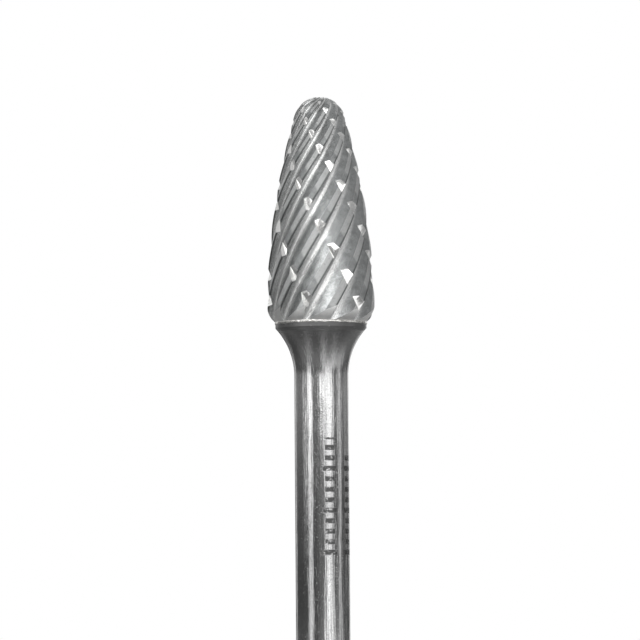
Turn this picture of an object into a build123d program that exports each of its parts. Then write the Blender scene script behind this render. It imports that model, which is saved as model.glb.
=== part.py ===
from build123d import *
import os
from math import acos, asin, atan2, ceil, cos, degrees, pi, radians, sin, sqrt, tan

# A tree-shaped carbide burr on a 6 mm shank, in millimetres.
# The head is one sintered and ground piece of tungsten carbide. It is butt-brazed to the
# collar of a turned steel shank, so the tool is three pieces of metal with no joint.
# Frame: the origin is the centre of the shank's end face, and +Z runs along the tool's
# axis towards the tip. The flutes are right-hand helices: they turn from +X to +Y as
# they climb. The chip-breaker grooves are left-hand helices that cross them.

# ---- overall ----
overall_length = 70.0
shank_d = 6.0
shank_end_chamfer = 0.4

# ---- envelope of the head: a long arc that runs into a small ball with a flat tip ----
head_d = 12.0
head_length = 25.0
widest_above_base = 0.6
tip_ball_r = 2.9
tip_flat_d = 1.7

# ---- back of the head: a rounded shoulder, then a chamfer down to the brazed face ----
shoulder_r = 3.0
shoulder_overhang = 0.05
base_chamfer = 0.4

# ---- flutes: lengths hold at the widest diameter and shrink with the envelope ----
flute_count = 11
flute_angle = 31.1
flute_phase = 17.1
flute_depth = 0.9
rake_lean = 2.0
floor_rise = 0.03
floor_angle = 6.0
land_angle = 10.0
land_relief = 0.15
flute_step = 3.2

# ---- chip-breaker grooves: a V, steep below and shallow above, whose lengths hold at
# the widest diameter ----
breaker_count = 6
breaker_angle = 29.0
breaker_depth = 0.48
breaker_low_width = 0.28
breaker_high_width = 0.92
breaker_rise = 0.3
breaker_phase = 23.4
breaker_reach = 0.75
breaker_step = 9.0

# ---- neck and braze ----
collar_d = 10.1
collar_length = 0.5
neck_flare_r = 7.75
braze_thickness = 0.15
braze_bead = 0.06

# ---- worked out from the values above ----
shank_r = shank_d / 2
head_r = head_d / 2
collar_r = collar_d / 2
tip_flat_r = tip_flat_d / 2
base_z = overall_length - head_length
widest_z = base_z + widest_above_base
collar_top_z = base_z - braze_thickness

# The side arc is tangent to a cylinder of the head's radius and to the tip's ball.
ball_z = overall_length - sqrt(tip_ball_r**2 - tip_flat_r**2)
ball_rise = ball_z - widest_z
side_arc_r = (head_r**2 + ball_rise**2 - tip_ball_r**2) / (2 * (head_r - tip_ball_r))
side_arc_x = head_r - side_arc_r

# Places on the envelope are given by how far its normal leans up, in radians.
base_lean = asin((base_z - widest_z) / side_arc_r)
ball_lean = atan2(ball_rise, -side_arc_x)
tip_lean = acos(tip_flat_r / tip_ball_r)


def envelope(lean):
    """Radius, height and arc radius of the envelope where its normal leans up by lean."""
    if lean < ball_lean:
        radius = side_arc_x + side_arc_r * cos(lean)
        return radius, widest_z + side_arc_r * sin(lean), side_arc_r
    return tip_ball_r * cos(lean), ball_z + tip_ball_r * sin(lean), tip_ball_r


def helix_stations(start, end, helix_angle, step_turn):
    """Leans from start to end with the turn reached at each, in even steps of turn.

    A helix of constant angle turns by the tangent of that angle times the path's length
    over its radius, so the turn is summed in small steps along the envelope."""
    fine = 6000
    step = (end - start) / fine
    track = [(start, 0.0)]
    for i in range(fine):
        radius, height, arc_r = envelope(start + (i + 0.5) * step)
        lean, turn = track[-1]
        track.append((lean + step, turn + tan(radians(helix_angle)) * arc_r * step / radius))
    whole = track[-1][1]
    count = ceil(degrees(whole) / step_turn)
    stations, at = [], 0
    for i in range(count + 1):
        while at < fine and track[at][1] < whole * i / count:
            at += 1
        stations.append(track[at])
    return stations


def tooth_ring(radius, height, turn):
    """Closed outline of the fluted section, turned, and scaled to the envelope's radius."""
    pitch = 2 * pi / flute_count
    floor_r = head_r - flute_depth

    def at(r, angle):
        r *= radius / head_r
        return Vector(r * cos(turn + angle), r * sin(turn + angle), height)

    edges = []
    for tooth in range(flute_count):
        crest = tooth * pitch
        floor_start = crest + radians(rake_lean)
        points = [
            at(head_r, crest),
            at(floor_r + floor_rise, floor_start),
            at(floor_r, floor_start + radians(floor_angle)),
            at(head_r - land_relief, crest + pitch - radians(land_angle)),
            at(head_r, crest + pitch),
        ]
        edges += [Line(a, b) for a, b in zip(points, points[1:])]
    return Wire(edges)


def fluted_bar():
    """The head before its back is turned: eleven ground teeth from the base to the tip."""
    rings = []
    for lean, turn in helix_stations(base_lean, tip_lean, flute_angle, flute_step):
        radius, height, arc_r = envelope(lean)
        rings.append(tooth_ring(radius, height, radians(flute_phase) + turn))
    return Solid.make_loft(rings)


def chip_breaker():
    """One left-hand V groove, as the solid that the grinding wheel takes away."""
    sections = []
    end_lean = tip_lean * breaker_reach
    for lean, turn in helix_stations(base_lean, end_lean, breaker_angle, breaker_step):
        radius, height, arc_r = envelope(lean)
        scale = radius / head_r
        azimuth = radians(breaker_phase) - turn
        outward = Vector(cos(azimuth), sin(azimuth), 0)
        around = Vector(-sin(azimuth), cos(azimuth), 0)
        normal = outward * cos(lean) + Vector(0, 0, sin(lean))
        climb = Vector(0, 0, cos(lean)) - outward * sin(lean)
        across = climb * sin(radians(breaker_angle)) + around * cos(radians(breaker_angle))
        surface = outward * radius + Vector(0, 0, height)
        widen = 1 + breaker_rise / breaker_depth
        low = surface + (normal * breaker_rise - across * breaker_low_width * widen) * scale
        high = surface + (normal * breaker_rise + across * breaker_high_width * widen) * scale
        bottom = surface - normal * breaker_depth * scale
        sections.append(Wire([Line(low, bottom), Line(bottom, high), Line(high, low)]))
    return Solid.make_loft(sections)


def turned(outline):
    """The solid turned about the tool's axis from an outline drawn as radius and height."""
    return revolve(Plane.XZ * make_face(outline), Axis.Z)


def shoulder_waste():
    """The ring turned off the back of the head: rounded above, chamfered to the collar."""
    rim_r = collar_r + base_chamfer
    rim_z = base_z + base_chamfer
    centre_r = head_r + shoulder_overhang - shoulder_r
    centre_z = rim_z + sqrt(shoulder_r**2 - (rim_r - centre_r) ** 2)
    rim_angle = degrees(atan2(rim_z - centre_z, rim_r - centre_r))
    outer_r = head_r + shoulder_r
    under_z = base_z - base_chamfer
    return turned([
        Line((collar_r, under_z), (collar_r, base_z)),
        Line((collar_r, base_z), (rim_r, rim_z)),
        CenterArc((centre_r, centre_z), shoulder_r, rim_angle, -rim_angle),
        Line((centre_r + shoulder_r, centre_z), (outer_r, centre_z)),
        Line((outer_r, centre_z), (outer_r, under_z)),
        Line((outer_r, under_z), (collar_r, under_z)),
    ])


def carbide_head():
    """The fluted, chip-broken head."""
    groove = chip_breaker()
    grooves = [groove.rotate(Axis.Z, 360 * i / breaker_count) for i in range(breaker_count)]
    return fluted_bar() - shoulder_waste() - grooves


def braze_seam():
    """The thin silver-braze layer between head and collar, with its raised bead."""
    bead = (collar_r + braze_bead, collar_top_z + braze_thickness / 2)
    return turned([
        Line((0, collar_top_z), (collar_r, collar_top_z)),
        Line((collar_r, collar_top_z), bead),
        Line(bead, (collar_r, base_z)),
        Line((collar_r, base_z), (0, base_z)),
        Line((0, base_z), (0, collar_top_z)),
    ])


def steel_shank():
    """The turned shank: chamfered end, cylinder, concave flare and short collar."""
    flare_inset = neck_flare_r - (collar_r - shank_r)
    flare_height = sqrt(neck_flare_r**2 - flare_inset**2)
    flare_top_z = collar_top_z - collar_length
    flare_z = flare_top_z - flare_height
    flare_turn = degrees(acos(flare_inset / neck_flare_r))
    return turned([
        Line((0, 0), (shank_r - shank_end_chamfer, 0)),
        Line((shank_r - shank_end_chamfer, 0), (shank_r, shank_end_chamfer)),
        Line((shank_r, shank_end_chamfer), (shank_r, flare_z)),
        CenterArc((shank_r + neck_flare_r, flare_z), neck_flare_r, 180, -flare_turn),
        Line((collar_r, flare_top_z), (collar_r, collar_top_z)),
        Line((collar_r, collar_top_z), (0, collar_top_z)),
        Line((0, collar_top_z), (0, 0)),
    ])


os.makedirs("parts", exist_ok=True)
for piece in (carbide_head, braze_seam, steel_shank):
    export_step(piece(), f"parts/{piece.__name__}.step")
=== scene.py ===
"""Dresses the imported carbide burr: ground carbide head, silver braze and ground steel shank."""

import math

import bpy
from mathutils import Matrix, Vector, noise


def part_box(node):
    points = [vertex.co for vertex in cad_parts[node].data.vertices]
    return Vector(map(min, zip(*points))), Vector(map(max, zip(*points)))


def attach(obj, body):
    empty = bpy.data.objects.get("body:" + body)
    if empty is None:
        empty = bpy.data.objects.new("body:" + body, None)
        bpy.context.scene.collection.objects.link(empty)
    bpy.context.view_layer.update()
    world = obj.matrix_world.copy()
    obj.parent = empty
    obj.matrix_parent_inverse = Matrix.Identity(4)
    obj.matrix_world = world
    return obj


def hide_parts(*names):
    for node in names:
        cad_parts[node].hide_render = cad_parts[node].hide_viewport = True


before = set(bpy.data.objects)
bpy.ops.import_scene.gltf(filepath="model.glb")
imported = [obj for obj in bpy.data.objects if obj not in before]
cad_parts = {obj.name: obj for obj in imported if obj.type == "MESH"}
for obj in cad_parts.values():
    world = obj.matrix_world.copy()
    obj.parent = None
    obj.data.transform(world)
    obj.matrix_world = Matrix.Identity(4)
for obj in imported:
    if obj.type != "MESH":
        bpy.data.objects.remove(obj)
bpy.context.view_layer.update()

bl_info = {
    "name": "Carbide burr",
    "version": (1, 0, 0),
    "blender": (4, 5, 0),
    "location": "View3D > Sidebar > Burr",
    "description": "Builds the head, the braze and the shank of a carbide burr, and a plain stage",
    "category": "Add Mesh",
}

MM = 0.001
# UV map of the head: teeth counted round it, and chip breakers counted along the edges.
LAY = "lay"
# Face mark of the head: 1 in the chip breakers, one half on the turned shoulder.
CUT = "cut"
BREAKER_MARK = 1.0
SHOULDER_MARK = 0.5
# Share of a tooth's mesh columns where its land starts.
LAND_START = 0.75
# How far a groove's cutter stands proud of the head, in millimetres.
GROOVE_PROUD = 0.3
# Share of the nose's ball that the chip breakers climb.
GROOVE_REACH = 0.7
# Share of the mesh rows that the head's long side arc takes; the nose has the rest.
SIDE_SHARE = 0.8
# Points of the head nearer than this are welded, in millimetres.
WELD = 1e-4

HEAD_LOW, HEAD_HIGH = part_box("carbide_head")
SEAM_LOW, SEAM_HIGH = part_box("braze_seam")
SHANK_LOW, SHANK_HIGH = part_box("steel_shank")
COLLAR_RADIUS = (SHANK_HIGH.x - SHANK_LOW.x) / 2


# ---------------------------------------------------------------- settings


def length(name, description, default):
    """A length in metres that a user can change."""
    return bpy.props.FloatProperty(name=name, description=description, default=default, min=0.0,
                                   unit="LENGTH", subtype="DISTANCE", precision=5)


def turn(name, description, degrees):
    """An angle that a user can change, given in degrees."""
    return bpy.props.FloatProperty(name=name, description=description,
                                   default=math.radians(degrees), subtype="ANGLE")


def count(name, description, default):
    """A whole number that a user can change."""
    return bpy.props.IntProperty(name=name, description=description, default=default, min=1)


def shade(name, description, default):
    """A colour that a user can change."""
    return bpy.props.FloatVectorProperty(name=name, description=description, default=default,
                                         size=3, min=0.0, max=1.0, subtype="COLOR")


class BurrHeadSettings(bpy.types.PropertyGroup):
    """Sizes and finish of the fluted head."""

    radius: length("Head radius", "Radius of the cutting edges at the widest place", 5.985 * MM)
    widest: length("Widest place", "Height of the widest place above the base", 0.6 * MM)
    tip_ball: length("Tip ball", "Radius of the ball at the tip", 2.9 * MM)
    tip_flat: length("Tip flat", "Radius of the flat on the tip", 0.85 * MM)
    shoulder: length("Shoulder", "Radius of the rounded back of the head", 3.0 * MM)
    shoulder_overhang: length("Overhang", "How far the shoulder's arc would reach past the edges",
                              0.05 * MM)
    base_chamfer: length("Base chamfer", "Chamfer from the shoulder down to the brazed face",
                         0.4 * MM)
    flutes: count("Flutes", "Number of right-hand flutes", 11)
    flute_angle: turn("Flute angle", "Helix angle of the flutes", 31.1)
    flute_start: turn("Flute start", "Place of the first cutting edge at the base", 17.1)
    flute_depth: length("Flute depth", "Depth of a flute at the widest place", 0.92 * MM)
    land: turn("Land", "Width of the land behind a cutting edge", 10.0)
    relief: length("Relief", "Drop of the land behind a cutting edge", 0.15 * MM)
    edge: length("Edge", "Rounding of the cutting edges", 0.05 * MM)
    grooves: count("Chip breakers", "Number of left-hand chip-breaker grooves", 6)
    groove_angle: turn("Groove angle", "Helix angle of the chip breakers", 29.0)
    groove_start: turn("Groove start", "Place of the first chip breaker at the base", 23.4)
    groove_depth: length("Groove depth", "Depth of a chip breaker at the widest place", 0.48 * MM)
    groove_low: length("Steep wall", "Width of a chip breaker's lower, steep wall", 0.28 * MM)
    groove_high: length("Shallow wall", "Width of a chip breaker's upper wall", 0.92 * MM)
    columns: count("Columns", "Mesh columns across one tooth", 32)
    rows: count("Rows", "Mesh rows from the base to the tip", 170)
    colour: shade("Carbide", "Colour of ground carbide", (0.37, 0.38, 0.38))
    # fresh is also the colour of the painted highlight in the gullets, besides the colour of fresh
    # lands.
    fresh: shade("Fresh carbide", "Colour of bright gullets and fresh lands", (0.76, 0.765, 0.76))
    # Painted shade: the near-black colour of the gullet corners and of the line along each cutting
    # edge.
    corner: shade("Gullet corner", "Colour of the painted_shade along an edge", (0.06, 0.065, 0.065))


class BurrShankSettings(bpy.types.PropertyGroup):
    """Sizes and finish of the shank and the braze."""

    radius: length("Shank radius", "Radius of the straight shank", 3.0 * MM)
    flare: length("Flare", "Radius of the concave flare under the collar", 7.75 * MM)
    collar: length("Collar", "Length of the collar above the flare", 0.5 * MM)
    chamfer: length("Chamfer", "Chamfer on the shank's end", 0.4 * MM)
    bead: length("Bead", "How far the braze stands out of the seam", 0.07 * MM)
    steel: shade("Steel", "Colour of ground steel", (0.56, 0.56, 0.56))
    silver: shade("Braze", "Colour of silver braze", (0.80, 0.79, 0.76))


class BurrStageSettings(bpy.types.PropertyGroup):
    """Camera, floor and light."""

    distance: length("Camera distance", "From the camera to the tool's axis", 0.45)
    frame_height: length("Frame height", "Height of the view at the tool's axis", 70.9 * MM)
    aim: length("Aim", "Height on the axis that the camera looks at", 45.28 * MM)
    aside: bpy.props.FloatProperty(name="Aside", description="How far beside the axis it looks",
                                   default=-0.1 * MM, unit="LENGTH", precision=5)
    rise: turn("Elevation", "The camera's elevation, below the level where negative", -3.5)
    roll: turn("Roll", "The camera's roll", -0.43)
    tent: length("Light tent", "Radius of the light tent round the tool", 0.3)


# ---------------------------------------------------------------- node helpers


class Field:
    """A number that varies over a mesh or a surface; arithmetic on it adds math nodes."""

    def __init__(self, wiring, socket):
        self.wiring = wiring
        self.socket = socket

    def math(self, operation, other=None, swap=False):
        inputs = [other, self] if swap else [self, other]
        node = self.wiring.node("ShaderNodeMath", inputs, operation=operation)
        return Field(self.wiring, node.outputs[0])

    def __add__(self, other):
        return self.math("ADD", other)

    def __radd__(self, other):
        return self.math("ADD", other)

    def __sub__(self, other):
        return self.math("SUBTRACT", other)

    def __rsub__(self, other):
        return self.math("SUBTRACT", other, swap=True)

    def __mul__(self, other):
        return self.math("MULTIPLY", other)

    def __rmul__(self, other):
        return self.math("MULTIPLY", other)

    def __truediv__(self, other):
        return self.math("DIVIDE", other)

    def __rtruediv__(self, other):
        return self.math("DIVIDE", other, swap=True)

    def above(self, other):
        return self.math("GREATER_THAN", other)

    def below(self, other):
        return self.math("LESS_THAN", other)

    def clamped(self):
        return self.math("MAXIMUM", 0.0).math("MINIMUM", 1.0)

    def cos(self):
        return self.math("COSINE")

    def sin(self):
        return self.math("SINE")

    def tan(self):
        return self.math("TANGENT")

    def floor(self):
        return self.math("FLOOR")

    def sqrt(self):
        return self.math("SQRT")


class Wiring:
    """Adds nodes to one tree. Inputs are numbers, vectors, fields or sockets."""

    def __init__(self, tree):
        self.tree = tree

    def feed(self, value, socket):
        if isinstance(value, Field):
            value = value.socket
        if isinstance(value, bpy.types.NodeSocket):
            self.tree.links.new(value, socket)
        elif value is not None:
            socket.default_value = value

    def node(self, kind, inputs=(), **settings):
        """A node with its settings, and its inputs by place or, in a dict, by name."""
        node = self.tree.nodes.new(kind)
        for name, value in settings.items():
            setattr(node, name, value)
        pairs = inputs.items() if isinstance(inputs, dict) else enumerate(inputs)
        for key, value in pairs:
            self.feed(value, node.inputs[key])
        return node

    def field(self, kind, inputs=(), output=0, **settings):
        return Field(self, self.node(kind, inputs, **settings).outputs[output])

    def parts(self, vector):
        """The three numbers of a vector."""
        node = self.node("ShaderNodeSeparateXYZ", [vector])
        return [Field(self, socket) for socket in node.outputs]

    def curve(self, value, points):
        """value read through a curve of (place, level, smooth) points."""
        node = self.node("ShaderNodeFloatCurve", {"Value": value})
        curve = node.mapping.curves[0]
        while len(curve.points) < len(points):
            curve.points.new(0.5, 0.5)
        for point, (place, level, smooth) in zip(curve.points, points):
            point.location = (place, level)
            point.handle_type = "AUTO_CLAMPED" if smooth else "VECTOR"
        node.mapping.update()
        return Field(self, node.outputs[0])


# ---------------------------------------------------------------- meshes


def link(name, mesh):
    """A new object at the origin, in the scene."""
    thing = bpy.data.objects.new(name, mesh)
    bpy.context.scene.collection.objects.link(thing)
    return thing


def lathe(name, outline, segments, closed=False, wander=None):
    """A closed mesh turned about Z from outline points of radius and height.

    The outline climbs, or runs anticlockwise where it is closed. It starts and ends on the
    axis unless it is closed. wander moves a point, given its place and its azimuth."""
    vertices, rings = [], []
    for radius, height in outline:
        if radius == 0.0:
            rings.append([len(vertices)] * segments)
            vertices.append((0.0, 0.0, height))
            continue
        rings.append(list(range(len(vertices), len(vertices) + segments)))
        for i in range(segments):
            azimuth = 2 * math.pi * i / segments
            r, z = wander(radius, height, azimuth) if wander else (radius, height)
            vertices.append((r * math.cos(azimuth), r * math.sin(azimuth), z))
    faces = []
    pairs = list(zip(rings, rings[1:])) + ([(rings[-1], rings[0])] if closed else [])
    for low, high in pairs:
        for i in range(segments):
            j = (i + 1) % segments
            face = [low[i], low[j], high[j], high[i]]
            faces.append(list(dict.fromkeys(face)))
    mesh = bpy.data.meshes.new(name)
    mesh.from_pydata(vertices, [], faces)
    mesh.update()
    return link(name, mesh)


def arc(centre, radius, start, end, steps):
    """Points along an arc, with angles in radians from the outward direction."""
    angles = [start + (end - start) * i / steps for i in range(steps + 1)]
    return [(centre[0] + radius * math.cos(a), centre[1] + radius * math.sin(a)) for a in angles]


def smooth(piece, sharp_degrees):
    """Smooth shading, with the edges that turn by more than the angle kept sharp."""
    piece.data.shade_smooth()
    piece.data.set_sharp_from_angle(angle=math.radians(sharp_degrees))


def finish_piece(piece, node):
    """Seats a finished piece on the frame in place of its CAD node."""
    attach(piece, "root")
    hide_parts(node)


# ---------------------------------------------------------------- the head


def tooth_form(settings):
    """Points across one tooth, from a cutting edge to the next.

    Each has its place in the columns and in the pitch, its depth as a share of the flute's
    depth, and whether the form runs on smoothly there."""
    pitch = 2 * math.pi / settings.flutes
    land_back = 1 - settings.land / pitch
    relief = settings.relief / settings.flute_depth
    edge = settings.edge / settings.flute_depth
    return [
        (0.0, 0.0, edge, False),
        (0.03125, 0.004, 2.5 * edge, False),
        (0.125, 0.04, 0.80, False),
        (0.25, 0.12, 1.0, True),
        (0.375, 0.22, 0.955, True),
        (0.5, 0.36, 0.74, True),
        (0.625, 0.52, 0.46, True),
        (LAND_START, land_back, relief, False),
        (0.9375, 0.985, 0.05 * relief, False),
        (0.96875, 0.995, 0.3 * edge, False),
        (1.0, 1.0, edge, False),
    ]


HEAD_INPUTS = [
    ("Head radius", "NodeSocketFloat"),
    ("Widest height", "NodeSocketFloat"),
    ("Base height", "NodeSocketFloat"),
    ("Tip height", "NodeSocketFloat"),
    ("Ball radius", "NodeSocketFloat"),
    ("Flat radius", "NodeSocketFloat"),
    ("Flutes", "NodeSocketInt"),
    ("Flute angle", "NodeSocketFloat"),
    ("Flute start", "NodeSocketFloat"),
    ("Flute depth", "NodeSocketFloat"),
    ("Grooves", "NodeSocketInt"),
    ("Groove angle", "NodeSocketFloat"),
    ("Groove start", "NodeSocketFloat"),
    ("Groove depth", "NodeSocketFloat"),
    ("Steep wall", "NodeSocketFloat"),
    ("Shallow wall", "NodeSocketFloat"),
    ("Groove rise", "NodeSocketFloat"),
    ("Groove reach", "NodeSocketFloat"),
    ("Side share", "NodeSocketFloat"),
    ("Columns", "NodeSocketInt"),
    ("Rows", "NodeSocketInt"),
    ("Shoulder waste", "NodeSocketObject"),
    ("Material", "NodeSocketMaterial"),
]


class Envelope:
    """The head's ground outline: a long side arc that runs into the tip's ball.

    A place on it is given by how far its normal leans up."""

    def __init__(self, sizes):
        self.ball = sizes["Ball radius"]
        flat = sizes["Flat radius"]
        self.ball_z = sizes["Tip height"] - (self.ball * self.ball - flat * flat).sqrt()
        self.widest_z = sizes["Widest height"]
        head = sizes["Head radius"]
        rise = self.ball_z - self.widest_z
        self.side = (head * head + rise * rise - self.ball * self.ball) / ((head - self.ball) * 2.0)
        self.side_x = head - self.side
        base = (sizes["Base height"] - self.widest_z) / self.side
        self.base_lean = base.math("ARCSINE")
        self.ball_lean = rise.math("ARCTAN2", 0.0 - self.side_x)
        self.tip_lean = (flat / self.ball).math("ARCCOSINE")

    def place(self, lean):
        """Radius, height and arc radius where the normal leans up by lean."""
        on_ball = lean.above(self.ball_lean)
        on_side = 1.0 - on_ball
        arc_r = self.side * on_side + self.ball * on_ball
        radius = self.side_x * on_side + arc_r * lean.cos()
        height = self.widest_z * on_side + self.ball_z * on_ball + arc_r * lean.sin()
        return radius, height, arc_r

    def lean(self, way, side_share, reach):
        """The lean at a share of the way up, with the side arc over its share of the rows."""
        up = (way / side_share).math("MINIMUM", 1.0)
        over = ((way - side_share) / (1.0 - side_share)).math("MAXIMUM", 0.0)
        end = self.ball_lean + (self.tip_lean - self.ball_lean) * reach
        return (self.base_lean + up * (self.ball_lean - self.base_lean)
                + over * (end - self.ball_lean))


class Sweep:
    """A grid whose columns run round a section and whose rows climb the envelope.

    The first and last rows close the ends. wrap is path length over radius, summed along
    the rows: a helix turns by the tangent of its angle times the wrap."""

    def __init__(self, wiring, envelope, columns, rows, side_share, reach):
        grid = wiring.node("GeometryNodeMeshGrid", {"Vertices X": columns, "Vertices Y": rows})
        self.mesh = grid.outputs["Mesh"]
        index = wiring.field("GeometryNodeInputIndex")
        self.column = (index / rows).floor()
        self.row = index - self.column * rows
        steps = rows - 3.0
        way = ((self.row - 1.0) / steps).clamped()
        before = ((self.row - 2.0) / steps).clamped()
        halfway = ((self.row - 1.5) / steps).clamped()
        self.lean = envelope.lean(way, side_share, reach)
        step = self.lean - envelope.lean(before, side_share, reach)
        mid_radius, _, mid_arc = envelope.place(envelope.lean(halfway, side_share, reach))
        turned = wiring.node("GeometryNodeAccumulateField",
                             {"Value": mid_arc * step / mid_radius, "Group ID": self.column},
                             data_type="FLOAT", domain="POINT")
        self.wrap = Field(wiring, turned.outputs["Leading"])
        self.radius, self.height, self.arc_r = envelope.place(self.lean)
        self.inside = self.row.above(0.5) * self.row.below(rows - 1.5)
        self.wiring = wiring

    def placed(self, radius, azimuth, height, lay=None):
        """The grid with its points moved, and its seam and ends welded.

        lay is a pair of fields that every face corner keeps, for the materials."""
        w = self.wiring
        spot = w.node("ShaderNodeCombineXYZ", [radius * azimuth.cos(), radius * azimuth.sin(),
                                               height])
        mesh = self.mesh
        if lay:
            pair = w.node("ShaderNodeCombineXYZ", [*lay, 0.0])
            kept = w.node("GeometryNodeFieldOnDomain", data_type="FLOAT_VECTOR", domain="POINT")
            w.feed(pair.outputs[0], kept.inputs[0])
            mesh = w.node("GeometryNodeStoreNamedAttribute",
                          {"Geometry": mesh, "Name": LAY, "Value": kept.outputs[0]},
                          data_type="FLOAT2", domain="CORNER").outputs[0]
        moved = w.node("GeometryNodeSetPosition", {"Geometry": mesh,
                                                   "Position": spot.outputs[0]})
        weld = w.node("GeometryNodeMergeByDistance", {"Geometry": moved.outputs[0],
                                                      "Distance": WELD})
        return weld.outputs[0]


def fluted_bar(wiring, envelope, sizes, form):
    """The head with its right-hand flutes, before the other cuts."""
    flutes = sizes["Flutes"]
    columns = sizes["Columns"]
    sweep = Sweep(wiring, envelope, flutes * columns + 1.0, sizes["Rows"] + 2.0,
                  sizes["Side share"], 1.0)
    tooth = (sweep.column / columns).floor()
    across = sweep.column / columns - tooth
    phase = wiring.curve(across, [(x, p, s) for x, p, d, s in form])
    depth = wiring.curve(across, [(x, d, s) for x, p, d, s in form])
    fade = ((sweep.radius - sizes["Flat radius"] * 0.6) / sizes["Flat radius"]).clamped()
    cut = (depth * sizes["Flute depth"] * sweep.radius / sizes["Head radius"] * sweep.inside
           * fade)
    radius = (sweep.radius - cut * sweep.lean.cos()) * sweep.inside
    height = sweep.height - cut * sweep.lean.sin()
    pitch = 2 * math.pi / flutes
    azimuth = ((tooth + phase) * pitch + sizes["Flute start"]
               + sizes["Flute angle"].tan() * sweep.wrap)
    crossed = ((azimuth - sizes["Groove start"] + sizes["Groove angle"].tan() * sweep.wrap)
               * sizes["Grooves"] / (2 * math.pi))
    return sweep.placed(radius, azimuth, height, lay=(sweep.column / columns, crossed))


def groove_cutters(wiring, envelope, sizes):
    """The left-hand V grooves, as the solids that the wheel takes away."""
    sweep = Sweep(wiring, envelope, 4, sizes["Rows"] / 2.0 + 2.0,
                  sizes["Side share"], sizes["Groove reach"])
    scale = sweep.radius / sizes["Head radius"]
    at_right = sweep.column.above(0.5) * sweep.column.below(1.5)
    at_bottom = sweep.column.above(1.5) * sweep.column.below(2.5)
    at_left = 1.0 - at_right - at_bottom
    rise = sizes["Groove rise"]
    depth = sizes["Groove depth"]
    side = (at_right * sizes["Shallow wall"] - at_left * sizes["Steep wall"])
    mouth = side * (rise / depth + 1.0)
    # The end rows fold the section flat on to its middle.
    out = (rise - at_bottom * (rise + depth)) * scale * sweep.inside
    along = mouth * scale * sweep.inside
    tilt = sizes["Groove angle"]
    climb = along * tilt.sin()
    around = along * tilt.cos()
    radius = sweep.radius + out * sweep.lean.cos() - climb * sweep.lean.sin()
    height = sweep.height + out * sweep.lean.sin() + climb * sweep.lean.cos()
    azimuth = sizes["Groove start"] - tilt.tan() * sweep.wrap + around / sweep.radius
    one = sweep.placed(radius, azimuth, height)
    spots = wiring.node("GeometryNodeMeshLine", {"Count": sizes["Grooves"]}, mode="OFFSET")
    wiring.feed((0.0, 0.0, 0.0), spots.inputs["Offset"])
    spin = wiring.field("GeometryNodeInputIndex") * (2 * math.pi / sizes["Grooves"])
    turned = wiring.node("ShaderNodeCombineXYZ", [0.0, 0.0, spin])
    copies = wiring.node("GeometryNodeInstanceOnPoints",
                         {"Points": spots.outputs[0], "Instance": one,
                          "Rotation": turned.outputs[0]})
    return wiring.node("GeometryNodeRealizeInstances", [copies.outputs[0]]).outputs[0]


def marked(wiring, mesh, mark):
    """A cutter whose walls carry a mark into the cut."""
    return wiring.node("GeometryNodeStoreNamedAttribute",
                       {"Geometry": mesh, "Name": CUT, "Value": mark},
                       data_type="FLOAT", domain="FACE").outputs[0]


def head_tree(form):
    """The node tree that makes the head."""
    tree = bpy.data.node_groups.new("fluted_head", "GeometryNodeTree")
    for name, kind in HEAD_INPUTS:
        tree.interface.new_socket(name, in_out="INPUT", socket_type=kind)
    tree.interface.new_socket("Head", in_out="OUTPUT", socket_type="NodeSocketGeometry")
    wiring = Wiring(tree)
    entry = tree.nodes.new("NodeGroupInput")
    sizes = {name: Field(wiring, entry.outputs[name]) for name, kind in HEAD_INPUTS}
    envelope = Envelope(sizes)
    bar = fluted_bar(wiring, envelope, sizes, form)
    cutters = groove_cutters(wiring, envelope, sizes)
    waste = wiring.node("GeometryNodeObjectInfo", {"Object": sizes["Shoulder waste"]})
    cut = bar
    for tool, mark in ((waste.outputs["Geometry"], SHOULDER_MARK), (cutters, BREAKER_MARK)):
        cut = wiring.node("GeometryNodeMeshBoolean",
                          {"Mesh 1": cut, "Mesh 2": marked(wiring, tool, mark)},
                          operation="DIFFERENCE", solver="MANIFOLD").outputs["Mesh"]
    real = wiring.node("GeometryNodeRealizeInstances", [cut])
    dressed = wiring.node("GeometryNodeSetMaterial", {"Geometry": real.outputs[0],
                                                      "Material": sizes["Material"]})
    small = wiring.node("GeometryNodeTransform", {"Geometry": dressed.outputs[0],
                                                  "Scale": (MM, MM, MM)})
    wiring.node("NodeGroupOutput", [small.outputs[0]])
    return tree


def shoulder_waste(settings, base_z):
    """The ring turned off the back of the head, in millimetres."""
    chamfer = settings.base_chamfer / MM
    shoulder = settings.shoulder / MM
    collar = COLLAR_RADIUS / MM
    rim = (collar + chamfer, base_z + chamfer)
    centre_r = (settings.radius + settings.shoulder_overhang) / MM - shoulder
    centre_z = rim[1] + math.sqrt(shoulder**2 - (rim[0] - centre_r) ** 2)
    rim_angle = math.atan2(rim[1] - centre_z, rim[0] - centre_r)
    outer = centre_r + 2 * shoulder
    under = base_z - chamfer
    outline = [(outer, under), (outer, centre_z)]
    outline += arc((centre_r, centre_z), shoulder, 0.0, rim_angle, 16)
    outline += [(collar, base_z), (collar, under)]
    return lathe("shoulder_waste", outline, segments=240, closed=True)


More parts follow.
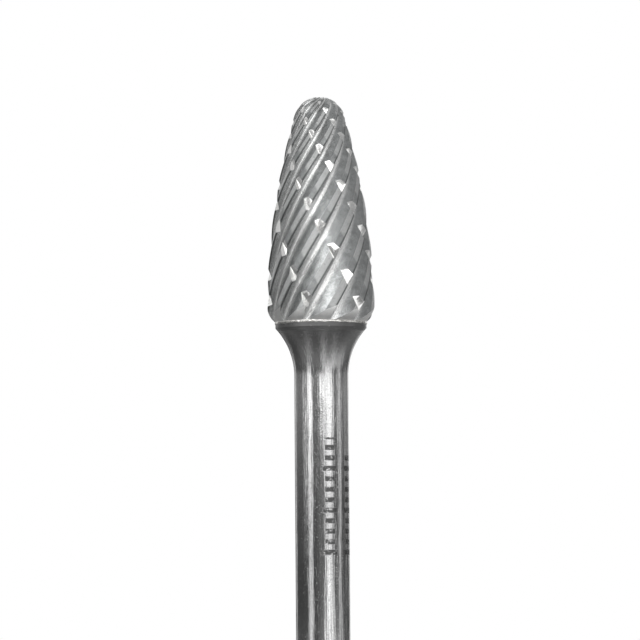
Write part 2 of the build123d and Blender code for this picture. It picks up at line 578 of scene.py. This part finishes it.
def make_head(settings, material):
    """The head's piece, as a plain mesh."""
    base_z, tip_z = HEAD_LOW.z / MM, HEAD_HIGH.z / MM
    waste = shoulder_waste(settings, base_z)
    values = {
        "Head radius": settings.radius / MM,
        "Widest height": base_z + settings.widest / MM,
        "Base height": base_z,
        "Tip height": tip_z,
        "Ball radius": settings.tip_ball / MM,
        "Flat radius": settings.tip_flat / MM,
        "Flutes": settings.flutes,
        "Flute angle": settings.flute_angle,
        "Flute start": settings.flute_start,
        "Flute depth": settings.flute_depth / MM,
        "Grooves": settings.grooves,
        "Groove angle": settings.groove_angle,
        "Groove start": settings.groove_start,
        "Groove depth": settings.groove_depth / MM,
        "Steep wall": settings.groove_low / MM,
        "Shallow wall": settings.groove_high / MM,
        "Groove rise": GROOVE_PROUD,
        "Groove reach": GROOVE_REACH,
        "Side share": SIDE_SHARE,
        "Columns": settings.columns,
        "Rows": settings.rows,
        "Shoulder waste": waste,
        "Material": material,
    }
    tree = head_tree(tooth_form(settings))
    piece = link("head", bpy.data.meshes.new("head"))
    maker = piece.modifiers.new("fluted_head", "NODES")
    maker.node_group = tree
    for item in tree.interface.items_tree:
        if item.in_out == "INPUT":
            maker[item.identifier] = values[item.name]
    graph = bpy.context.evaluated_depsgraph_get()
    made = bpy.data.meshes.new_from_object(piece.evaluated_get(graph))
    piece.modifiers.clear()
    piece.data = made
    bpy.data.objects.remove(waste)
    return piece


# ---------------------------------------------------------------- the shank and the braze


def make_shank(settings):
    """The turned shank: chamfered end, cylinder, concave flare and collar."""
    radius, flare, chamfer = settings.radius, settings.flare, settings.chamfer
    top = SHANK_HIGH.z
    low = top - settings.collar
    inset = flare - (COLLAR_RADIUS - radius)
    start = low - math.sqrt(flare**2 - inset**2)
    turned = math.acos(inset / flare)
    outline = [(0.0, 0.0), (radius - chamfer, 0.0), (radius, chamfer)]
    steps = 60
    outline += [(radius, chamfer + (start - chamfer) * i / steps) for i in range(1, steps)]
    outline += arc((radius + flare, start), flare, math.pi, math.pi - turned, 28)
    outline += [(COLLAR_RADIUS, top), (0.0, top)]
    piece = lathe("shank", outline, segments=256)
    smooth(piece, 20.0)
    return piece


def make_braze(settings):
    """The braze between the head and the collar, with the uneven bead that runs out of it."""
    low, high = SEAM_LOW.z, SEAM_HIGH.z
    middle = (low + high) / 2
    spread = 0.16 * MM
    root = 0.05 * MM
    rim = COLLAR_RADIUS - root
    bead = arc((COLLAR_RADIUS, middle), 1.0, -math.pi / 2, math.pi / 2, 8)
    outline = [(0.0, low), (rim, low)]
    outline += [(COLLAR_RADIUS + (r - COLLAR_RADIUS) * settings.bead,
                 middle + (z - middle) * spread) for r, z in bead]
    outline += [(rim, high), (0.0, high)]

    def wander(radius, height, azimuth):
        """Swells the bead and lets it stray up and down; the disc inside it stays."""
        if radius < COLLAR_RADIUS - root / 5:
            return radius, height
        spot = Vector((math.cos(azimuth), math.sin(azimuth), 0.0))
        swell = noise.noise(spot * 9.0) + 0.5 * noise.noise(spot * 23.0)
        shift = noise.noise(spot * 6.0 + Vector((3.0, 1.0, 5.0)))
        out = (radius - COLLAR_RADIUS) * (1.0 + 0.5 * swell)
        up = (height - middle) * (1.0 + 0.45 * swell) + 0.04 * MM * shift
        return COLLAR_RADIUS + out, middle + up

    piece = lathe("braze", outline, segments=360, wander=wander)
    smooth(piece, 50.0)
    return piece


# ---------------------------------------------------------------- materials


def shader_group(name, inputs, outputs):
    """An empty shader node group with its inputs and outputs, and its wiring."""
    tree = bpy.data.node_groups.new(name, "ShaderNodeTree")
    for label, kind, default in inputs:
        socket = tree.interface.new_socket(label, in_out="INPUT", socket_type=kind)
        if default is not None:
            socket.default_value = default
    for label, kind in outputs:
        tree.interface.new_socket(label, in_out="OUTPUT", socket_type=kind)
    wiring = Wiring(tree)
    entry = tree.nodes.new("NodeGroupInput")
    given = {label: Field(wiring, entry.outputs[label]) for label, kind, default in inputs}
    return tree, wiring, given


def edge_wear_group(name):
    """Where an edge is rubbed bright: close to a convex edge, broken up by noise."""
    tree, w, given = shader_group(
        name,
        [("Radius", "NodeSocketFloat", 0.0001), ("Amount", "NodeSocketFloat", 1.0),
         ("Grain size", "NodeSocketFloat", 4000.0)],
        [("Wear", "NodeSocketFloat")])
    geometry = w.node("ShaderNodeNewGeometry")
    bevel = w.node("ShaderNodeBevel", {"Radius": given["Radius"]}, samples=4)
    same = w.field("ShaderNodeVectorMath",
                   [geometry.outputs["Normal"], bevel.outputs["Normal"]],
                   output=1, operation="DOT_PRODUCT")
    spot = w.node("ShaderNodeTexCoord").outputs["Object"]
    grain = w.field("ShaderNodeTexNoise", {"Vector": spot, "Scale": given["Grain size"],
                                           "Detail": 2.0})
    near = ((1.0 - same) * 6.0).clamped()
    wear = (near * (grain * 1.6 - 0.2).clamped() * given["Amount"]).clamped()
    w.node("NodeGroupOutput", [wear])
    return tree


def grinding_lines_group(name):
    """Fine lines that run along one direction of a stretched position."""
    tree, w, given = shader_group(
        name,
        [("Position", "NodeSocketVector", None), ("Scale", "NodeSocketVector", (1.0, 1.0, 1.0)),
         ("Detail", "NodeSocketFloat", 3.0), ("Sharpness", "NodeSocketFloat", 1.0)],
        [("Lines", "NodeSocketFloat")])
    stretched = w.node("ShaderNodeVectorMath", [given["Position"], given["Scale"]],
                       operation="MULTIPLY").outputs[0]
    grain = w.field("ShaderNodeTexNoise", {"Vector": stretched, "Scale": 1.0,
                                           "Detail": given["Detail"], "Roughness": 0.6})
    lines = ((grain - 0.5) * given["Sharpness"] + 0.5).clamped()
    w.node("NodeGroupOutput", [lines])
    return tree


def grain_group(name):
    """Cloudy grain of a surface, from coarse mottling down to single specks."""
    inputs = [("Position", "NodeSocketVector", None), ("Scale", "NodeSocketFloat", 1.0),
              ("Detail", "NodeSocketFloat", 2.0), ("Roughness", "NodeSocketFloat", 0.5)]
    tree, w, given = shader_group(name, inputs, [("Grain", "NodeSocketFloat")])
    given["Vector"] = given.pop("Position")
    w.node("NodeGroupOutput", [w.field("ShaderNodeTexNoise", given)])
    return tree


EFFECTS = {
    "edge_wear": edge_wear_group,
    "grinding_lines": grinding_lines_group,
    "surface_grain": grain_group,
}


def effect(wiring, name, **inputs):
    """A shared effect placed in a material; its node group is built the first time."""
    tree = bpy.data.node_groups.get(name) or EFFECTS[name](name)
    named = {label.replace("_", " "): value for label, value in inputs.items()}
    return wiring.field("ShaderNodeGroup", named, node_tree=tree)


def new_material(name):
    """A node material with its Principled shader, and its wiring."""
    material = bpy.data.materials.new(name)
    material.use_nodes = True
    tree = material.node_tree
    tree.nodes.clear()
    wiring = Wiring(tree)
    shader = wiring.node("ShaderNodeBsdfPrincipled")
    wiring.node("ShaderNodeOutputMaterial", {"Surface": shader.outputs[0]})
    return material, wiring, shader


def mixed(wiring, factor, low, high):
    """A colour between two colours."""
    node = wiring.tree.nodes.new("ShaderNodeMix")
    node.data_type = "RGBA"
    wiring.feed(factor, node.inputs["Factor"])
    for name, colour in (("A", low), ("B", high)):
        socket = next(s for s in node.inputs if s.name == name and s.type == "RGBA")
        wiring.feed((*colour, 1.0) if isinstance(colour, tuple) else colour, socket)
    return next(s for s in node.outputs if s.type == "RGBA")


def darker(colour, factor):
    """A colour scaled by a factor."""
    return tuple(c * factor for c in colour)


def bumped(wiring, height, distance, strength=1.0):
    """A normal raised by a height field; the distance is in metres."""
    return wiring.node("ShaderNodeBump", {"Height": height, "Distance": distance,
                                          "Strength": strength}).outputs[0]


def soft_edge(w, value, outside, inside):
    """0 at outside and beyond, 1 at inside and beyond, and smooth between."""
    return w.field("ShaderNodeMapRange", {"Value": value, "From Min": outside,
                                          "From Max": inside}, interpolation_type="SMOOTHSTEP")


def place_in_mm(wiring):
    """Position of the shaded point on the tool, in millimetres."""
    spot = wiring.node("ShaderNodeTexCoord").outputs["Object"]
    return wiring.node("ShaderNodeVectorMath", {0: spot, "Scale": 1 / MM},
                       operation="SCALE").outputs[0]


# Zones of a finish and of painted shade and highlight, each from where it starts to fade in to
# where it is full.
# Across one tooth, from 0 at a cutting edge to 1 at the next:
# CORNER and the two CREST zones carry painted shade: a dark band in the gullet corner and a dark
# line along each cutting edge.
CORNER = (0.26, 0.1)
GULLET = (0.52, 0.36)
LAND = (LAND_START - 0.004, LAND_START + 0.004)
CREST_BEFORE_EDGE = (0.89, 0.925)
CREST_PAST_EDGE = (0.06, 0.02)
# Along an edge, from 0 at a chip breaker to 1 at the next:
FRESH = (0.38, 0.44)
# Up the tool, in millimetres above the shank's end:
TURNED_NECK = (36.5, 39.0)
HEAT_TINT = (37.0, 43.5)
COLLAR = (43.9, 44.1)
NOSE_PITS = (63.0, 68.0)
NOSE_WORN = (67.6, 69.4)
# Columns of etched bars: middle and half width in degrees, low and high end in millimetres.
ETCHED_COLUMNS = ((-73.0, 16.0, 19.0, 32.2), (-23.0, 15.0, 19.0, 30.4))
# From one bar to the next, in millimetres, and which of them are long.
BAR_STEP = 1.15
LONG_BAR_EVERY = 4.0
# Colour of clean cut carbide in the chip breakers, and of its brightest turned places.
CUT_CARBIDE = (0.88, 0.88, 0.87)
TURNED_CARBIDE = (0.95, 0.95, 0.94)
# BRIGHT_SPECK is a painted glint: a light colour for the steel's small specks.
BRIGHT_SPECK = (0.85, 0.85, 0.85)


def carbide_material(settings):
    """Ground tungsten carbide: gullets with a painted highlight, matt lands with fresh patches, and
    painted shade along the edges and in the gullet corners.
    """
    material, w, shader = new_material("ground_carbide")
    spot = place_in_mm(w)
    z = w.parts(spot)[2]
    lay = w.node("ShaderNodeUVMap", uv_map=LAY).outputs[0]
    teeth, crossed, _ = w.parts(lay)
    across = teeth.math("FRACT")
    below = crossed.math("FRACT")
    cut = w.field("ShaderNodeAttribute", output="Fac", attribute_name=CUT)
    touched = cut.above(SHOULDER_MARK / 2)
    breaker = cut.above((SHOULDER_MARK + BREAKER_MARK) / 2)
    turned = touched * (1.0 - breaker)
    ground = 1.0 - touched
    streak = effect(w, "grinding_lines", Position=lay, Scale=(420.0, 14.0, 1.0), Detail=3.0,
                    Sharpness=1.6)
    cross = effect(w, "grinding_lines", Position=lay, Scale=(60.0, 420.0, 1.0), Detail=2.0,
                   Sharpness=2.2)
    mottle = effect(w, "surface_grain", Position=spot, Scale=1.1, Detail=4.0, Roughness=0.7)
    grain = effect(w, "surface_grain", Position=spot, Scale=4.5)
    rub = effect(w, "edge_wear", Radius=0.05 * MM, Grain_size=5000.0)
    worn = soft_edge(w, z, *NOSE_WORN)
    # Painted shade in the gullet corner behind each cutting edge, where the rake wall shades it.
    corner = ground * soft_edge(w, across, *CORNER)
    # Painted shade as a dark line along each cutting edge, fainter where the nose is worn.
    crest = ground * (soft_edge(w, across, *CREST_BEFORE_EDGE)
                      + soft_edge(w, across, *CREST_PAST_EDGE)) * (1.0 - worn * 0.7)
    # Painted highlight: the gullets get a lighter colour where the lamps' streaks fall.
    gullet = ground * soft_edge(w, across, *GULLET)
    land = ground * soft_edge(w, across, *LAND)
    fresh = land * soft_edge(w, below, *FRESH) * (cross * 1.1 + 0.1)
    pits = ground * soft_edge(w, grain, 0.58, 0.7)
    carbide, bright = tuple(settings.colour), tuple(settings.fresh)
    base = mixed(w, streak * 0.8 + mottle * 1.6 - 0.7, darker(carbide, 0.56),
                 darker(carbide, 1.22))
    # The painted highlight of the gullets goes into the colour here.
    base = mixed(w, gullet, base, mixed(w, streak, darker(bright, 0.72), darker(bright, 1.2)))
    base = mixed(w, fresh * 0.8, base, darker(bright, 0.92))
    # The painted shade of the gullet corners and the cutting edges goes into the colour here.
    base = mixed(w, corner * 0.2 + crest * 0.75, base, tuple(settings.corner))
    base = mixed(w, pits * (soft_edge(w, z, *NOSE_PITS) * 0.35 + 0.3), base,
                 darker(carbide, 0.3))
    base = mixed(w, breaker, base, CUT_CARBIDE)
    base = mixed(w, turned, base, mixed(w, mottle, darker(bright, 0.9), TURNED_CARBIDE))
    w.feed(base, shader.inputs["Base Color"])
    w.feed(1.0, shader.inputs["Metallic"])
    w.feed(0.14 + streak * 0.09 + land * 0.2 + fresh * 0.04 + turned * 0.3 + rub * 0.05,
           shader.inputs["Roughness"])
    relief = streak * ground * (1.0 - land) + cross * land * 1.5 + grain * 0.8
    w.feed(bumped(w, relief, 0.008 * MM), shader.inputs["Normal"])
    return material


def bar_marks(w, azimuth, z, middle, half, low, high):
    """Short bars across a column, with a long bar at every few steps: 1 in a bar, else 0."""
    step = (z - low) / BAR_STEP
    number = step.floor()
    place = step - number
    long_bar = number.math("MODULO", LONG_BAR_EVERY).below(0.5)
    off = (azimuth - math.radians(middle)).math("ABSOLUTE") * math.degrees(1.0)
    reach = half * (long_bar * 0.3 + 0.7)
    bar = soft_edge(w, off, reach + 1.5, reach - 1.5)
    bar = bar * soft_edge(w, place, 0.2, 0.3) * soft_edge(w, place, 0.8, 0.7)
    return bar * z.above(low) * z.below(high)


def steel_material(settings):
    """Ground and polished steel, tinted by the brazing heat, with plain etched bars."""
    material, w, shader = new_material("ground_steel")
    spot = place_in_mm(w)
    x, y, z = w.parts(spot)
    azimuth = y.math("ARCTAN2", x)
    turning = effect(w, "grinding_lines", Position=spot, Scale=(0.6, 0.6, 16.0), Detail=3.0,
                     Sharpness=1.0)
    drawn = effect(w, "grinding_lines", Position=spot, Scale=(4.0, 4.0, 0.12), Detail=3.0,
                   Sharpness=1.0)
    rub = effect(w, "edge_wear", Radius=0.1 * MM, Grain_size=3000.0)
    mottle = effect(w, "surface_grain", Position=spot, Scale=2.6, Detail=4.0, Roughness=0.7)
    grain = effect(w, "surface_grain", Position=spot, Scale=5.0)
    fine = effect(w, "surface_grain", Position=spot, Scale=8.0, Detail=1.0)
    sway = effect(w, "surface_grain", Position=spot, Scale=0.25, Detail=1.0)
    pits = soft_edge(w, grain, 0.66, 0.74)
    # Specks are small bumps, and their lighter colour is a painted glint.
    specks = soft_edge(w, grain, 0.33, 0.26)
    left, right = (bar_marks(w, azimuth, z, *column) for column in ETCHED_COLUMNS)
    etched = (left + right).clamped() * soft_edge(w, mottle, 0.34, 0.48)
    heat = soft_edge(w, z, *HEAT_TINT)
    collar = soft_edge(w, z, *COLLAR)
    steel = tuple(settings.steel)
    base = mixed(w, turning * 0.4 + (fine * 3.0 - 1.0).clamped() * 0.6, darker(steel, 0.82),
                 darker(steel, 1.12))
    base = mixed(w, heat * 0.9, base, darker(steel, 0.45))
    base = mixed(w, collar * 0.4, base, darker(steel, 0.2))
    base = mixed(w, etched * 0.92, base, darker(steel, 0.12))
    base = mixed(w, pits * 0.5, base, darker(steel, 0.5))
    # Painted glints: the specks are lightened in the colour here.
    base = mixed(w, specks * 0.4, base, BRIGHT_SPECK)
    w.feed(base, shader.inputs["Base Color"])
    w.feed(1.0, shader.inputs["Metallic"])
    w.feed(0.075 + turning * 0.04 + rub * 0.1 + etched * 0.3 + collar * 0.25 + heat * 0.15,
           shader.inputs["Roughness"])
    relief = drawn * 3.5 + sway * 2.0 + grain * 0.3 + specks * 0.3 - pits * 0.4 - etched * 0.3
    w.feed(bumped(w, relief, 0.01 * MM), shader.inputs["Normal"])
    # The turned neck spreads a highlight up and down.
    w.feed(soft_edge(w, z, *TURNED_NECK) * 0.85, shader.inputs["Anisotropic"])
    w.feed(0.25, shader.inputs["Anisotropic Rotation"])
    w.feed(w.node("ShaderNodeTangent", direction_type="RADIAL", axis="Z").outputs[0],
           shader.inputs["Tangent"])
    return material


def braze_material(settings):
    """Silver braze, frozen in small waves."""
    material, w, shader = new_material("silver_braze")
    mottle = effect(w, "surface_grain", Position=place_in_mm(w), Scale=3.0, Detail=3.0)
    silver = tuple(settings.silver)
    w.feed(mixed(w, mottle, darker(silver, 0.8), silver), shader.inputs["Base Color"])
    w.feed(1.0, shader.inputs["Metallic"])
    w.feed(mottle * 0.2 + 0.15, shader.inputs["Roughness"])
    w.feed(bumped(w, mottle, 0.03 * MM), shader.inputs["Normal"])
    return material


# ---------------------------------------------------------------- the stage


# Half the floor's width, in metres.
FLOOR_REACH = 4.0


def seen_white(wiring):
    """1 where the camera, a mirror image or a view through glass sees it, else 0."""
    path = wiring.node("ShaderNodeLightPath")
    seen = [Field(wiring, path.outputs[name])
            for name in ("Is Camera Ray", "Is Glossy Ray", "Is Transmission Ray")]
    return (seen[0] + seen[1] + seen[2]).clamped()


def floor_material(settings):
    """The pale floor: soft and shadowed near the tool, plain white far from it."""
    material, w, shader = new_material("pale_floor")
    spot = w.node("ShaderNodeTexCoord").outputs["Object"]
    grain = effect(w, "surface_grain", Position=spot, Scale=60.0)
    w.feed(mixed(w, grain, (0.84, 0.84, 0.84), (0.86, 0.86, 0.86)), shader.inputs["Base Color"])
    w.feed(0.9, shader.inputs["Roughness"])
    away = w.field("ShaderNodeVectorMath", [spot], output="Value", operation="LENGTH")
    far = soft_edge(w, away, settings.tent * 0.35, settings.tent * 0.85)
    white = w.node("ShaderNodeEmission", {"Strength": 1.0})
    both = w.node("ShaderNodeMixShader", [far * seen_white(w), shader.outputs[0],
                                          white.outputs[0]])
    end = next(n for n in w.tree.nodes if n.type == "OUTPUT_MATERIAL")
    w.feed(both.outputs[0], end.inputs["Surface"])
    return material


def make_floor(settings):
    """The flat floor that the tool stands on."""
    mesh = bpy.data.meshes.new("floor")
    corners = [(x * FLOOR_REACH, y * FLOOR_REACH, 0.0)
               for x, y in ((-1, -1), (1, -1), (1, 1), (-1, 1))]
    mesh.from_pydata(corners, [], [(0, 1, 2, 3)])
    floor = link("floor", mesh)
    floor.data.materials.append(floor_material(settings))


# Soft boxes as they are seen from the head, in degrees: azimuth from the camera's side and
# half width, lower and upper edge, softness of the edges, and strength.
SOFT_BOXES = (
    (-40.0, 27.0, 24.0, 40.0, 5.0, 2.4),
    (-14.0, 15.0, 6.0, 30.0, 6.0, 1.9),
    (15.0, 16.0, 28.0, 40.0, 6.0, 0.9),
    (-110.0, 35.0, 20.0, 40.0, 8.0, 0.4),
    (-51.0, 9.0, -14.0, 16.0, 4.0, 0.9),
    (-50.0, 9.0, -3.8, 16.0, 2.5, 1.1),
    (-76.0, 4.0, -5.0, 12.0, 3.0, 1.0),
    (1.0, 11.0, -1.9, 6.0, 0.7, 2.4),
    (31.0, 16.0, -14.0, 10.0, 4.0, 1.05),
    (31.0, 16.0, -3.0, 6.0, 2.5, 0.7),
    (24.0, 3.5, -14.0, -7.0, 1.5, 1.3),
    (80.0, 7.0, -10.0, 20.0, 4.0, 0.8),
    (180.0, 25.0, 10.0, 40.0, 8.0, 0.9),
    (160.0, 9.0, -14.0, 12.0, 4.0, 0.9),
    (-148.0, 7.0, -14.0, 14.0, 4.0, 0.7),
    (120.0, 5.0, -10.0, 14.0, 3.0, 0.3),
    (60.0, 40.0, -32.0, -11.0, 5.0, 0.6),
    (-51.0, 4.0, -62.0, -11.0, 4.0, 0.9),
    (10.0, 6.0, -62.0, -11.0, 4.0, 1.0),
    (52.0, 4.0, -62.0, -11.0, 4.0, 0.7),
    (-6.0, 14.0, -12.0, -4.5, 2.5, 0.1),
)
# Dark cards in front of the cloth, in the same order, with the share that each takes away.
DARK_CARDS = (
    (-118.0, 26.0, -40.0, -16.0, 5.0, 0.6),
)
# Glow of the tent's cloth, from the middle of the table to the top: rise and level.
TENT_GLOW = (
    (-90.0, 0.5), (-78.0, 0.36), (-66.0, 0.15), (-60.0, 0.14), (-35.0, 0.36), (-25.0, 0.32),
    (-11.0, 0.2), (-9.5, 0.06), (-4.5, 0.13), (-1.0, 0.31), (10.0, 0.33), (40.0, 0.55),
    (90.0, 0.65),
)
# Outline of the tent, as shares of its radius: radius and height.
TENT_OUTLINE = ((1.0, 0.0), (1.0, 0.7), (0.9, 1.2), (0.65, 1.5), (0.35, 1.65), (0.0, 1.7))
# Height of the card that lies on the table round the tool.
CARD_HEIGHT = 0.05 * MM


def tent_material(name, eye):
    """Cloth of the light tent, with soft boxes glowing through it and dark cards between."""
    material = bpy.data.materials.new(name)
    material.use_nodes = True
    material.node_tree.nodes.clear()
    w = Wiring(material.node_tree)
    x, y, z = w.parts(w.node("ShaderNodeTexCoord").outputs["Object"])
    level = (x * x + y * y).sqrt()
    azimuth = x.math("ARCTAN2", 0.0 - y) * math.degrees(1.0)
    rise = (z - eye).math("ARCTAN2", level) * math.degrees(1.0)
    # The curve takes its place as a share of a half turn.
    glow = w.curve((rise + 90.0) / 180.0,
                   [((place + 90.0) / 180.0, shine, False) for place, shine in TENT_GLOW])

    def panel(middle, half, low, high, soft):
        """1 on a soft box or a card, 0 past its edges."""
        off = (azimuth - middle).math("ABSOLUTE")
        off = off.math("MINIMUM", 360.0 - off)
        return (soft_edge(w, off, half + soft, half - soft)
                * soft_edge(w, rise, low - soft, low + soft)
                * soft_edge(w, rise, high + soft, high - soft))

    for *place, taken in DARK_CARDS:
        glow = glow * (1.0 - panel(*place) * taken)
    for *place, strength in SOFT_BOXES:
        glow = glow + panel(*place) * strength
    lamp = w.node("ShaderNodeEmission", {"Strength": glow})
    w.node("ShaderNodeOutputMaterial", {"Surface": lamp.outputs[0]})
    return material


def make_tent(settings):
    """The round light tent, and the card under the tool that only polished metal shows."""
    radius = settings.tent
    eye = (HEAD_LOW.z + HEAD_HIGH.z) / 2
    glow = tent_material("tent_cloth", eye)
    wall = [(out * radius, up * radius) for out, up in TENT_OUTLINE]
    tent = lathe("light_tent", wall, segments=96)
    card = lathe("table_card", [(COLLAR_RADIUS, CARD_HEIGHT), (radius, CARD_HEIGHT)],
                 segments=96)
    for thing in (tent, card):
        thing.data.materials.append(glow)
        thing.visible_camera = False
        thing.visible_shadow = False
    card.visible_diffuse = False


def backdrop_world():
    """White where the camera or a mirror image looks past the tool, and soft light besides."""
    world = bpy.data.worlds.new("studio")
    bpy.context.scene.world = world
    world.use_nodes = True
    world.node_tree.nodes.clear()
    w = Wiring(world.node_tree)
    shade_of = mixed(w, seen_white(w), (0.6, 0.6, 0.6), (1.0, 1.0, 1.0))
    sky = w.node("ShaderNodeBackground", {"Color": shade_of, "Strength": 1.0})
    w.node("ShaderNodeOutputWorld", {"Surface": sky.outputs[0]})


def make_camera(settings):
    """The camera, which looks up at the tool from a little below its middle."""
    data = bpy.data.cameras.new("camera")
    data.sensor_fit = "VERTICAL"
    data.sensor_height = 36.0
    data.lens = data.sensor_height * settings.distance / settings.frame_height
    data.clip_start = 0.01
    camera = link("camera", data)
    rise = settings.rise
    aim = Vector((settings.aside, 0.0, settings.aim))
    back = Vector((0.0, -math.cos(rise), math.sin(rise)))
    camera.location = aim + back * settings.distance
    face = (-back).to_track_quat("-Z", "Y").to_matrix()
    camera.rotation_euler = (face @ Matrix.Rotation(settings.roll, 3, "Z")).to_euler()
    bpy.context.scene.camera = camera


# ---------------------------------------------------------------- the add-on


class BURR_OT_head(bpy.types.Operator):
    """Build the fluted carbide head"""

    bl_idname = "burr.head"
    bl_label = "Build head"
    bl_options = {"REGISTER", "UNDO"}

    def execute(self, context):
        settings = context.scene.burr_head
        piece = make_head(settings, carbide_material(settings))
        smooth(piece, 28.0)
        finish_piece(piece, "carbide_head")
        return {"FINISHED"}


class BURR_OT_shank(bpy.types.Operator):
    """Build the steel shank and the braze that joins it to the head"""

    bl_idname = "burr.shank"
    bl_label = "Build shank and braze"
    bl_options = {"REGISTER", "UNDO"}

    def execute(self, context):
        settings = context.scene.burr_shank
        shank = make_shank(settings)
        shank.data.materials.append(steel_material(settings))
        finish_piece(shank, "steel_shank")
        braze = make_braze(settings)
        braze.data.materials.append(braze_material(settings))
        finish_piece(braze, "braze_seam")
        return {"FINISHED"}


class BURR_OT_stage(bpy.types.Operator):
    """Build the floor, the light tent and the camera"""

    bl_idname = "burr.stage"
    bl_label = "Build stage"
    bl_options = {"REGISTER", "UNDO"}

    def execute(self, context):
        settings = context.scene.burr_stage
        backdrop_world()
        make_floor(settings)
        make_tent(settings)
        make_camera(settings)
        return {"FINISHED"}


class BURR_PT_panel(bpy.types.Panel):
    """The burr's settings and build buttons"""

    bl_label = "Carbide burr"
    bl_idname = "BURR_PT_panel"
    bl_space_type = "VIEW_3D"
    bl_region_type = "UI"
    bl_category = "Burr"

    def draw(self, context):
        for name, kind, maker in GROUPS:
            box = self.layout.box()
            for field in kind.__annotations__:
                box.prop(getattr(context.scene, name), field)
            box.operator(maker.bl_idname)


# Each group of settings that a scene holds, and the operator that builds from it.
GROUPS = (
    ("burr_head", BurrHeadSettings, BURR_OT_head),
    ("burr_shank", BurrShankSettings, BURR_OT_shank),
    ("burr_stage", BurrStageSettings, BURR_OT_stage),
)
CLASSES = (BurrHeadSettings, BurrShankSettings, BurrStageSettings, BURR_OT_head,
           BURR_OT_shank, BURR_OT_stage, BURR_PT_panel)


def register():
    """Adds the settings, the operators and the panel."""
    for cls in CLASSES:
        bpy.utils.register_class(cls)
    for name, kind, _ in GROUPS:
        setattr(bpy.types.Scene, name, bpy.props.PointerProperty(type=kind))


def unregister():
    """Takes them away again."""
    for name, _, _ in GROUPS:
        delattr(bpy.types.Scene, name)
    for cls in reversed(CLASSES):
        bpy.utils.unregister_class(cls)


def main():
    """Builds the tool and its stage."""
    register()
    bpy.context.scene.view_settings.view_transform = "Standard"
    bpy.ops.burr.head()
    bpy.ops.burr.shank()
    bpy.ops.burr.stage()


if __name__ == "__main__":
    main()
